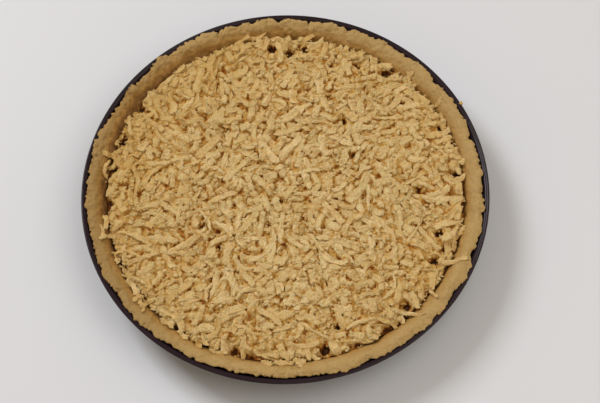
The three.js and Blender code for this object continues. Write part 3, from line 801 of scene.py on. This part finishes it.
def ribbons(name, paths, sizes, roll):
    """Flat ribbons along paths, all in one mesh. At each station stands a ring of corners, the cross-section,
    turned by the ribbon's roll. Both edges wander in and out by themselves and are toothed, each corner is
    roughened, and the ends are torn aslant and closed by quads."""
    count, stations = paths.shape[:2]
    corners = len(ribbon_section)
    along = np.gradient(paths, axis=1)
    along /= np.maximum(np.linalg.norm(along, axis=-1, keepdims=True), 1e-9)
    side = np.cross([0, 0, 1], along)
    side /= np.maximum(np.linalg.norm(side, axis=-1, keepdims=True), 1e-9)
    up = np.cross(along, side)
    share = np.linspace(-1, 1, stations)
    tilt = draw.normal(0, roll, (count, 1)) + draw.normal(0, roll, (count, 1)) * share
    taper = 1 - 0.35 * np.abs(share) ** 6
    waves = np.stack([np.cos(2 * share), np.sin(3 * share), np.sin(5 * share)])
    wander = draw.normal(0, 1, (2, count, 3)) @ waves
    teeth = draw.uniform(-0.95, 0.55, (2, count, stations)) * mm
    edges = (sizes[:, 1, None] / 2 * (1 + 0.12 * wander) * taper + teeth)[..., None]
    across = np.where(ribbon_section[:, 0] > 0, edges[0], edges[1]) * ribbon_section[:, 0]
    swelling = 1 + draw.uniform(-0.25, 0.25, (count, stations, 1))
    through = ribbon_section[:, 1] * sizes[:, 2, None, None] / 2 * swelling
    rough = draw.normal(0, 1, (2, *across.shape)) * 0.16 * mm
    across = across + rough[0]
    through = (through + rough[1]) * (1 - 0.25 * np.abs(share) ** 6)[:, None]
    slant = draw.normal(0, 0.35, (count, 2))
    slant = np.where(share < -0.99, slant[:, :1], 0) + np.where(share > 0.99, slant[:, 1:], 0)
    torn = draw.normal(0, 0.5 * mm, across.shape) * (np.abs(share) > 0.99)[:, None]
    offset_side = across * np.cos(tilt)[..., None] - through * np.sin(tilt)[..., None]
    offset_up = across * np.sin(tilt)[..., None] + through * np.cos(tilt)[..., None]
    points = (paths[:, :, None] + offset_side[..., None] * side[:, :, None]
              + offset_up[..., None] * up[:, :, None]
              + (slant[..., None] * across + torn)[..., None] * along[:, :, None])
    ring, corner = np.meshgrid(np.arange(stations - 1), np.arange(corners), indexing="ij")
    here, beside = ring * corners + corner, ring * corners + (corner + 1) % corners
    quads = np.stack([here, here + corners, beside + corners, beside], -1).reshape(-1, 4)
    end = np.array([(0, 1, 2, 7), (2, 3, 6, 7), (3, 4, 5, 6)])
    faces = np.concatenate([quads, end, end[:, ::-1] + (stations - 1) * corners])
    faces = faces[None] + (np.arange(count) * stations * corners)[:, None, None]
    points[..., 2] = np.minimum(points[..., 2], border_top)
    piece = make_piece(name, points.reshape(-1, 3), [faces.reshape(-1, 4)], smooth=False)
    keep_tint_and_shade(piece, np.repeat(draw.uniform(0, 1, count), stations * corners))
    return piece


def crumbs(name, middles, sizes, tilt_angles, corners):
    """Angular lumps, all in one mesh: rings of corners at those angles from the top, between two poles, with
    each corner roughened."""
    count = len(middles)
    tilt = np.radians(tilt_angles)
    around = np.arange(corners) * 2 * math.pi / corners
    unit = np.concatenate([[[0, 0, 1]], np.stack([
        np.sin(tilt)[:, None] * np.cos(around), np.sin(tilt)[:, None] * np.sin(around),
        np.cos(tilt)[:, None] + 0 * around], -1).reshape(-1, 3), [[0, 0, -1]]])
    half = sizes[:, None] / 2 * draw.uniform(0.7, 1.3, (count, 3)) * np.array([1, 1, 0.75])
    points = unit[None] * half[:, None] * draw.uniform(0.65, 1.3, (count, len(unit), 1))
    heading = draw.uniform(0, 2 * math.pi, count)[:, None]
    x, y = points[..., 0].copy(), points[..., 1].copy()
    points[..., 0] = x * np.cos(heading) - y * np.sin(heading)
    points[..., 1] = x * np.sin(heading) + y * np.cos(heading)
    points += middles[:, None]
    offsets = (np.arange(count) * len(unit))[:, None, None]
    faces = [(f[:, ::-1][None] + offsets).reshape(-1, f.shape[1]) for f in ring_faces(len(tilt), corners)]
    piece = make_piece(name, points.reshape(-1, 3), faces, smooth=False)
    keep_tint_and_shade(piece, np.repeat(draw.uniform(0, 1, count), len(unit)))
    return piece


long_ribbons = ribbons("long_ribbons", *joined("long"), roll=0.2)
thin_ribbons = ribbons("thin_ribbons", *joined("thin"), roll=0.3)
short_ribbons = ribbons("short_ribbons", *joined("short"), roll=0.25)
flakes = ribbons("flakes", *joined("flake"), roll=0.35)
crumb_paths, crumb_sizes = joined("crumb")
coarse_crumbs = crumbs("coarse_crumbs", crumb_paths[:, 0], crumb_sizes[:, 0], (50, 90, 130), 6)

# Fine crumbs cling to the ribbons in clusters
fine_count = 15000
cluster_count = 320
cluster_spread = 4 * mm
cluster_x, cluster_y = draw.uniform(-122 * mm, 122 * mm, (2, cluster_count))
pick = draw.integers(0, cluster_count, fine_count)
clustered = draw.uniform(0, 1, fine_count) < 0.65
gathered = (cluster_x[pick], cluster_y[pick]) + draw.normal(0, cluster_spread, (2, fine_count))
strewn = draw.uniform(-125 * mm, 125 * mm, (2, fine_count))
fine_x, fine_y = np.where(clustered, gathered, strewn)
inside = (np.hypot(fine_x, fine_y) < 127.5 * mm) & (nearness_to_gap(fine_x, fine_y, 0.4 * mm) < 0.2)
fine_x, fine_y = fine_x[inside], fine_y[inside]
fine_middles = np.stack([fine_x, fine_y, topping_map.ravel()[map_index(fine_x, fine_y)] + 0.1 * mm], 1)
fine_crumbs = crumbs("fine_crumbs", fine_middles, draw.uniform(0.8 * mm, 2 * mm, len(fine_x)), (90,), 5)

# The matted heap of pieces, which is also the body of the topping down to the filling, in four quarters
heap_cells = 520
hollow_z, foot_z, skirt_radius = 25.4 * mm, 28.4 * mm, 125 * mm


def disc_grid(cells):
    """A square grid bent into a disc: the larger coordinate is the radius, and their ratio the angle."""
    marks = np.linspace(-1, 1, cells)
    b, a = np.meshgrid(marks, marks, indexing="ij")
    wide = np.abs(a) >= np.abs(b)
    radius = np.where(wide, a, b)
    ratio = np.where(wide, b, a) / np.where(radius == 0, 1, radius)
    angle = np.where(wide, quarter / 2 * ratio, quarter - quarter / 2 * ratio)
    return radius * np.cos(angle), radius * np.sin(angle)


disc_x, disc_y = disc_grid(heap_cells)
disc_x, disc_y = disc_x * edge_limit, disc_y * edge_limit
matting = np.stack([disc_x, disc_y, map_value(topping_map, disc_x, disc_y)], -1)
matting[..., 2] += 0.35 * mm * lumps(matting, 1.2 * mm, 42)
foot_radius = edge_limit - 2.2 * mm + 1.8 * mm * lumps(np.stack([disc_x, disc_y, 0 * disc_x], -1), 5 * mm, 43)
fallen = smooth_step((np.hypot(disc_x, disc_y) - foot_radius) / (1.2 * mm))
matting[..., 2] = matting[..., 2] * (1 - fallen) + np.minimum(matting[..., 2], foot_z) * fallen
hollow = nearness_to_gap(disc_x, disc_y, 1.7 * mm)
matting[..., 2] = matting[..., 2] * (1 - hollow) + hollow_z * hollow


def quarter_of_heap(name, rows, columns):
    """A closed quarter of the heap: the grid's points in those rows and columns, a skirt and a base."""
    top = matting[rows, columns]
    high, wide = top.shape[:2]
    grid = np.arange(high * wide).reshape(high, wide)
    border = np.concatenate([grid[0, :-1], grid[:-1, -1], grid[-1, :0:-1], grid[:0:-1, 0]])
    skirt = top.reshape(-1, 3)[border].copy()
    out = np.maximum(np.hypot(skirt[:, 0], skirt[:, 1]), 1 * mm)
    skirt[:, :2] *= np.minimum(1, skirt_radius / out)[:, None]
    skirt[:, 2] = heap_low.z
    middle = np.append(skirt[:, :2].mean(0), heap_low.z)
    top_quads = np.stack([grid[:-1, :-1], grid[:-1, 1:], grid[1:, 1:], grid[1:, :-1]], -1).reshape(-1, 4)
    around = np.arange(len(border))
    following = (around + 1) % len(border)
    first, last = high * wide, high * wide + len(border)
    side_quads = np.stack([border, first + around, first + following, border[following]], -1)
    base_fan = np.stack([first + following, first + around, 0 * around + last], -1)
    points = np.concatenate([top.reshape(-1, 3), skirt, [middle]])
    piece = make_piece(name, points, [top_quads, side_quads, base_fan])
    keep_tint_and_shade(piece, tint_grid.ravel()[map_index(points[:, 0], points[:, 1])])
    return piece


near, far = slice(0, heap_cells // 2 + 1), slice(heap_cells // 2, heap_cells)
matted_dough = [
    quarter_of_heap("matted_near_left", near, near), quarter_of_heap("matted_near_right", near, far),
    quarter_of_heap("matted_far_left", far, near), quarter_of_heap("matted_far_right", far, far),
]

grated_dough, tree, shader = dough_material(
    "grated_dough", dark=(0.735, 0.545, 0.243), pale=(0.82, 0.643, 0.342), floury=(0.85, 0.73, 0.485),
    pit_shade=(0.51, 0.28, 0.062), mottle_and_pit_shade=0.8, relief_height=1.3 * mm)
# Each piece's own tone, with painted shade towards the border and the far left
colour_by(tree, shader, "tint_and_shade", [(0, 1, 1, (0.6, 0.39, 0.135))])
# Painted shade in the heap's crevices: browner, then darker to near black the deeper a point lies
colour_by(tree, shader, "shade_depth", [
    (0.05, 0.6, 1, (0.55, 0.3, 0.065)), (0.6, 1, 1, (0.33, 0.1, 0.01)), (1, 1.7, 0.9, (0.085, 0.032, 0.01)),
])
shader.inputs["Specular IOR Level"].default_value = 0.15
for piece in (long_ribbons, thin_ribbons, short_ribbons, flakes, coarse_crumbs, fine_crumbs, *matted_dough):
    keep_painted_shade(piece)
    piece.data.materials.append(grated_dough)
    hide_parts("grated_topping")
    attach(piece, "root")

# The lip crumb is a single crumb of the grated dough. It has fallen beside the heap and lies loose on the
# tin's lip, at the right.
lip_crumb_place = np.array([[128.6 * mm, 64.1 * mm, tin_height + 0.7 * mm]])
lip_crumb = crumbs("lip_crumb", lip_crumb_place, np.array([2.6 * mm]), (40, 75, 105, 140), 9)
keep_painted_shade(lip_crumb)
lip_crumb.data.materials.append(grated_dough)
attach(lip_crumb, "root")

# The floor is plain and pale. Soft light comes from a window on the far left, with a weak light above and a
# weaker one low on the right, in a warm room. The view is the photo's own, from above the near side.
floor_half = 3.0
floor_points = np.array([(-1, -1, 0), (1, -1, 0), (1, 1, 0), (-1, 1, 0)]) * floor_half
floor = make_piece("floor", floor_points, [np.array([[0, 1, 2, 3]])], smooth=False)
floor_paint, tree, shader, place = new_material("floor_paint")
tree.links.new(mix_colours(tree, noise(tree, place, 0.4, 2), (0.58, 0.6, 0.66), (0.61, 0.63, 0.69)),
               shader.inputs["Base Color"])
shader.inputs["Roughness"].default_value = 0.6
floor.data.materials.append(floor_paint)


def soft_light(name, place, aim, size, power, colour):
    """A square area light at a place, turned to aim at a point."""
    light = bpy.data.lights.new(name, "AREA")
    light.size = size
    light.energy = power
    light.color = colour
    lamp = bpy.data.objects.new(name, light)
    bpy.context.scene.collection.objects.link(lamp)
    lamp.location = place
    lamp.rotation_euler = (Vector(aim) - Vector(place)).to_track_quat("-Z", "Y").to_euler()


pie_middle = (0, 0, tin_height)
soft_light("window", (-1.3, 1.09, 1.8), pie_middle, 0.9, 39.5, (0.97, 0.985, 1))
soft_light("ceiling", (0.45, -0.15, 1.05), pie_middle, 0.8, 4.2, (1, 0.99, 0.97))
soft_light("low_right", (1.5, -0.9, 0.45), pie_middle, 0.5, 1.5, (1, 0.97, 0.93))
world = bpy.data.worlds.new("room")
world.use_nodes = True
world.node_tree.nodes["Background"].inputs["Color"].default_value = (1, 0.84, 0.6, 1)
world.node_tree.nodes["Background"].inputs["Strength"].default_value = 0.45
bpy.context.scene.world = world
bpy.context.scene.view_settings.view_transform = "Standard"

aim = Vector((10.246 * mm, -10.386 * mm, tin_height))
elevation = math.radians(64.763)
distance = 1053.8 * mm
tilt = -0.029
camera = bpy.data.objects.new("camera", bpy.data.cameras.new("camera"))
bpy.context.scene.collection.objects.link(camera)
camera.data.sensor_width = 36
camera.data.lens = 90
camera.data.clip_start = 0.01
standing = aim + distance * Vector((0, -math.cos(elevation), math.sin(elevation)))
camera.matrix_world = (Matrix.Translation(standing) @ Matrix.Rotation(math.pi / 2 - elevation, 4, "X")
                       @ Matrix.Rotation(tilt, 4, "Z"))
bpy.context.scene.camera = camera
